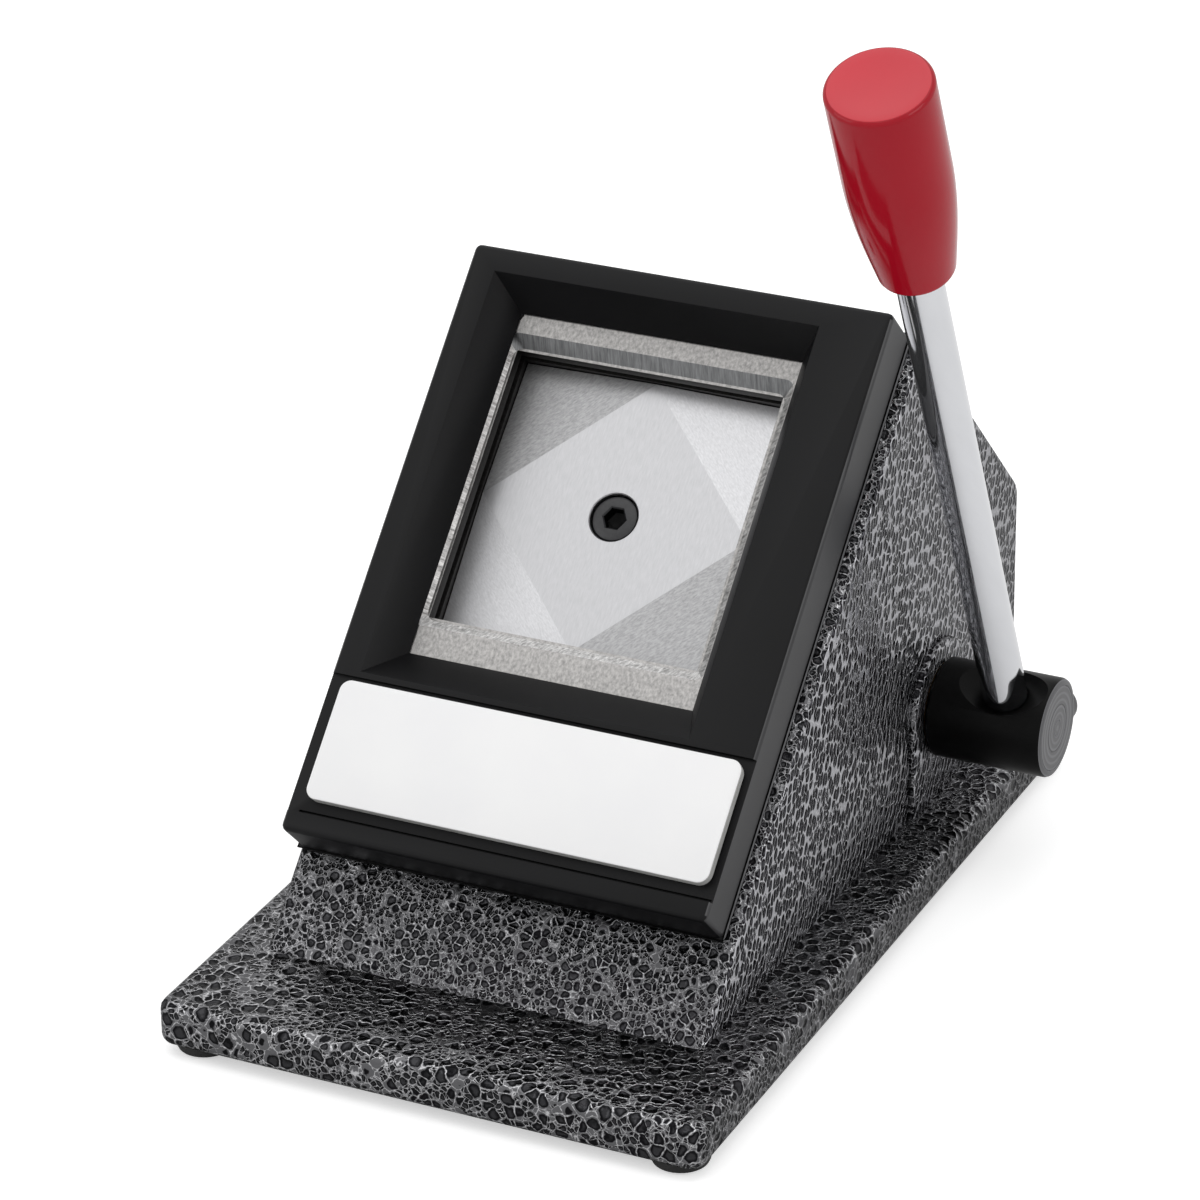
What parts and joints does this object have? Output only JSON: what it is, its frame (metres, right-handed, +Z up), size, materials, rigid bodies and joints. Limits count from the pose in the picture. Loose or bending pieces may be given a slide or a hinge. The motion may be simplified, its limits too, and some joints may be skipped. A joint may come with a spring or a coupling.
{
  "type": "photo cutter press",
  "caption": "Desk press that cuts square passport prints: sloping window, spring-returned punch and die, driven by a side lever with a cam shaft.",
  "frame": {"origin": "centre of the bounding box, on the plane the feet stand on", "axes": "+Z up, +X towards the lever side, +Y from the low front edge to the back"},
  "size_m": [0.1136, 0.1642, 0.1716],
  "materials": {
    "hammertone": "grey-black hammertone paint on cast and plate metal",
    "black_plastic": "satin black moulded plastic",
    "white_plastic": "blank white laminate",
    "milled_steel": "milled tool steel",
    "ground_steel": "surface-ground steel",
    "black_screw": "black oxide steel",
    "zinc_steel": "bright zinc plate",
    "bronze": "plain bearing bronze",
    "spring_steel": "oiled spring wire",
    "black_oxide": "turned steel, black oxide",
    "chrome": "mirror chrome plate",
    "red_grip": "glossy red plastic",
    "rubber": "black rubber"
  },
  "bodies": {
    "frame": {"base_plate": "hammertone", "body_casting": "hammertone", "bezel": "black_plastic", "name_plate": "white_plastic", "die_plate": "milled_steel", "guide_plate": "milled_steel", "print_slot_spacer": "ground_steel", "guide_post_side": "ground_steel", "guide_post_lower": "ground_steel", "bezel_screw_left": "black_screw", "bezel_screw_right": "black_screw", "die_screw_lower_left": "black_screw", "die_screw_upper_left": "black_screw", "die_screw_lower_right": "black_screw", "die_screw_upper_right": "black_screw", "body_screw_front_left": "black_screw", "body_screw_rear_left": "black_screw", "body_screw_front_right": "black_screw", "body_screw_rear_right": "black_screw", "foot_screw_front_left": "zinc_steel", "foot_screw_rear_left": "zinc_steel", "foot_screw_front_right": "zinc_steel", "foot_screw_rear_right": "zinc_steel", "shaft_bush_left": "bronze", "shaft_bush_right": "bronze", "return_spring_side": "spring_steel", "return_spring_lower": "spring_steel", "post_clip_side": "black_oxide", "post_clip_lower": "black_oxide", "foot_front_left": "rubber", "foot_rear_left": "rubber", "foot_front_right": "rubber", "foot_rear_right": "rubber"},
    "ram": {"punch": "ground_steel", "punch_screw": "black_screw", "ram_plate": "milled_steel", "follower_pad": "ground_steel", "ram_bush_side": "bronze", "ram_bush_lower": "bronze"},
    "lever": {"lever_shaft": "ground_steel", "eccentric_cam": "ground_steel", "cam_key": "ground_steel", "shaft_spacer_left": "zinc_steel", "shaft_spacer_right": "zinc_steel", "shaft_washer": "zinc_steel", "shaft_clip": "black_oxide", "lever_hub": "black_oxide", "hub_lock_screw": "black_screw", "lever_rod": "chrome", "grip": "red_grip"}
  },
  "joints": [
    {"name": "lever_tilt", "type": "hinge", "parent": "frame", "child": "lever", "pos_m": [-0.0074, 0.04193, 0.02732], "axis": [1, 0, 0], "range_deg": [0, 60]},
    {"name": "ram_slide", "type": "slide", "parent": "frame", "child": "ram", "axis": [0, -0.7071, 0.7071], "range_m": [0, 0.008], "stiffness_N_per_m": 900, "springref_m": -0.006, "deforming": ["return_spring_side", "return_spring_lower"]}
  ],
  "couplings": [
    {"joint": "lever_tilt", "follows": "ram_slide", "rad_per_m": 130.9}
  ]
}
